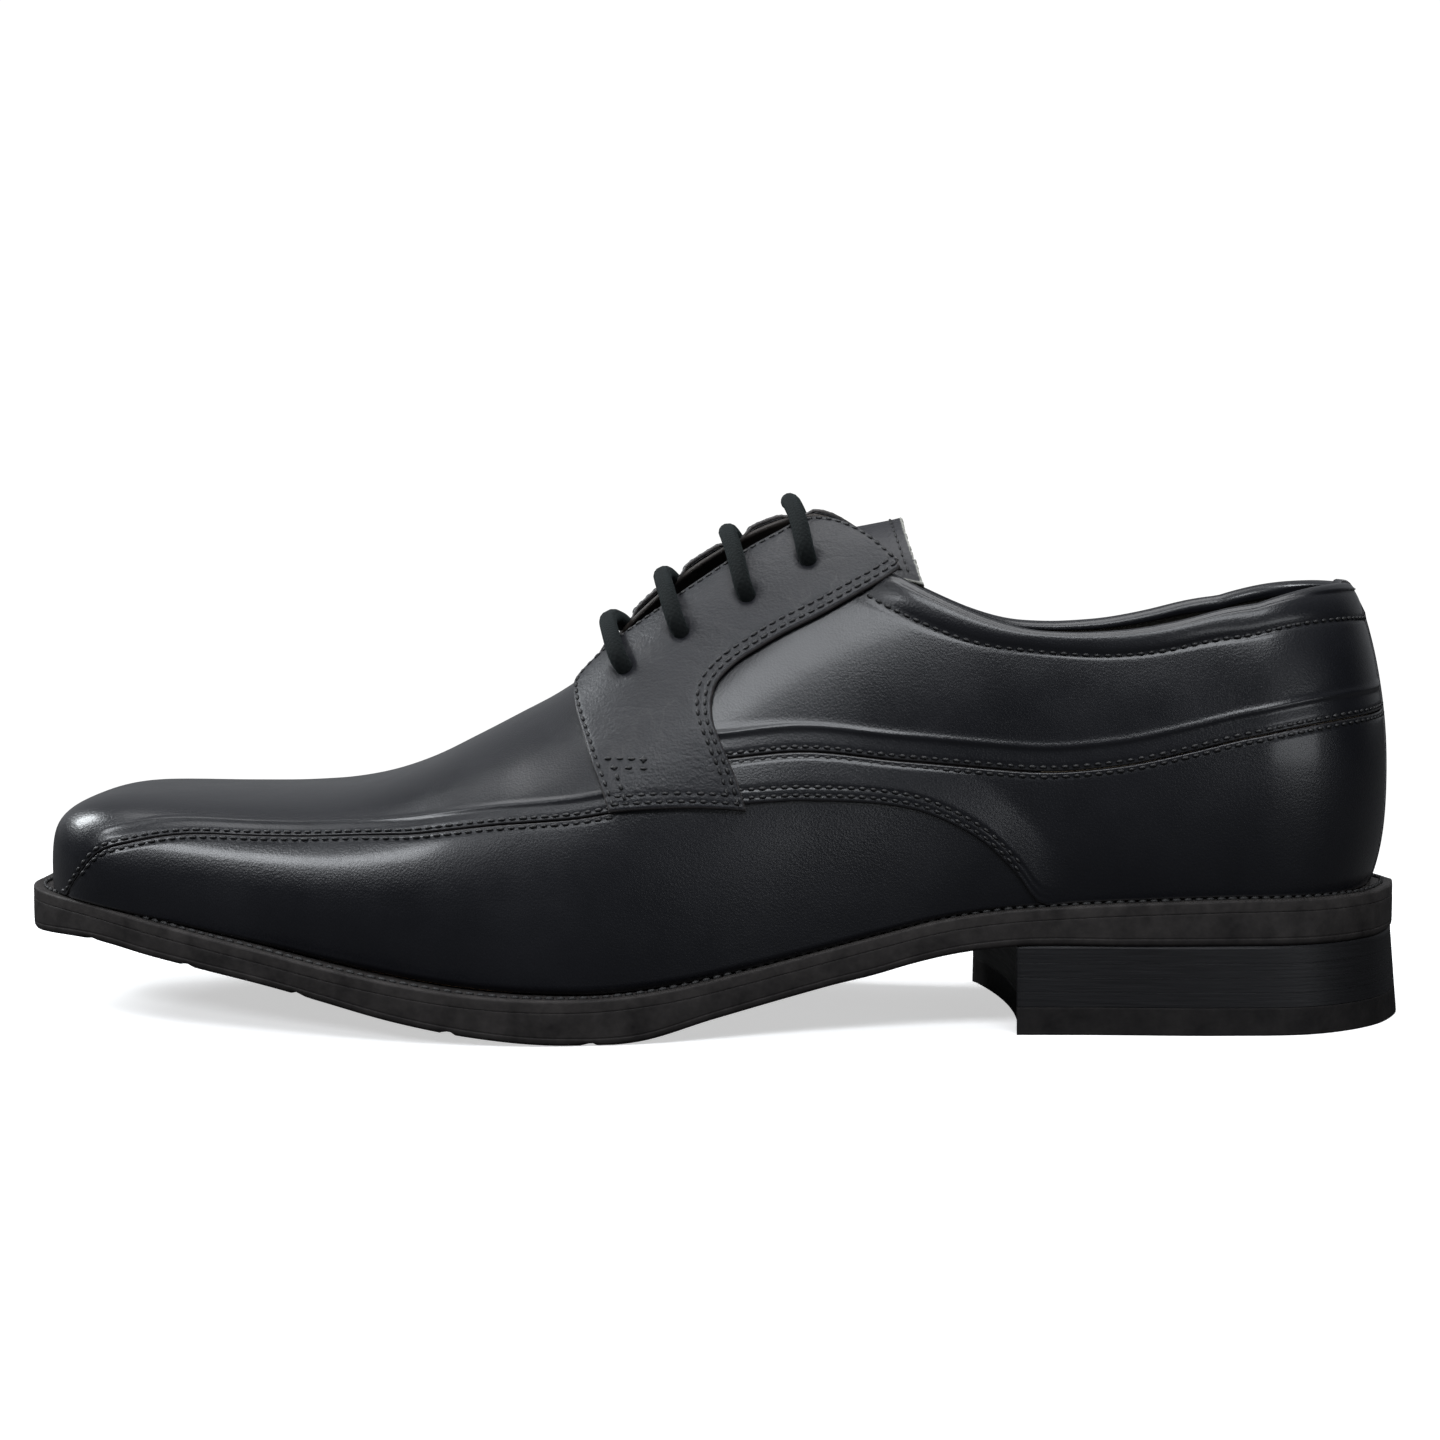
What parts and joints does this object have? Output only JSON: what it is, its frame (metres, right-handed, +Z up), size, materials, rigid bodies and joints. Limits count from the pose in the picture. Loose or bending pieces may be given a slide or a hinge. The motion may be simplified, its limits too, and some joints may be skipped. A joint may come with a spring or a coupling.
{
  "type": "lace-up derby shoe",
  "caption": "Men's left lace-up leather dress shoe with long squared toe, sewn-on facings, padded collar, stitched welt and stacked heel; the tongue hinges inwards.",
  "frame": {"origin": "centre of the shoe's box on the ground plane", "axes": "-X towards the toe, +X towards the heel, -Y to the outer side, +Y to the inner side, +Z up"},
  "size_m": [0.3098, 0.1034, 0.1177],
  "materials": {
    "calf": "smooth black calf, fine grain, satin",
    "facing": "black calf, softer and a little creased",
    "lining": "dark brown-black lining leather",
    "suede": "napped heel lining",
    "stiffener": "moulded stiffener",
    "foam": "collar foam",
    "board": "cellulose board",
    "cork": "cork filler",
    "steel": "spring steel",
    "sole": "black synthetic sole, satin edge",
    "welt": "black stitched welt, satin",
    "stack": "black layered heel, waxed edge",
    "rubber": "black rubber top piece",
    "lace": "round waxed cotton lace",
    "tip": "lace tip"
  },
  "bodies": {
    "root": {"vamp_apron": "calf", "vamp_side_lateral": "calf", "vamp_side_medial": "calf", "quarter_lower_lateral": "calf", "quarter_lower_medial": "calf", "quarter_upper_lateral": "calf", "quarter_upper_medial": "calf", "backstay": "calf", "facing_lateral": "facing", "facing_medial": "facing", "facing_lining_lateral": "lining", "facing_lining_medial": "lining", "vamp_lining": "lining", "quarter_lining_lateral": "lining", "quarter_lining_medial": "lining", "sock_liner": "lining", "heel_grip": "suede", "toe_puff": "stiffener", "heel_counter": "stiffener", "collar_padding": "foam", "insole": "board", "bottom_filler": "cork", "heel_seat_filler": "cork", "shank": "steel", "outsole": "sole", "welt": "welt", "heel_top_piece": "rubber", "heel_lift_1": "stack", "heel_lift_2": "stack", "heel_lift_3": "stack", "heel_lift_4": "stack", "lace": "lace", "aglet_1": "tip", "aglet_2": "tip"},
    "tongue": {"tongue": "calf", "tongue_lining": "lining"}
  },
  "joints": [
    {"name": "tongue_hinge", "type": "hinge", "parent": "root", "child": "tongue", "pos_m": [-0.0275, 0.0084, 0.0712], "axis": [0, 1, 0], "range_deg": [0, 20]}
  ]
}
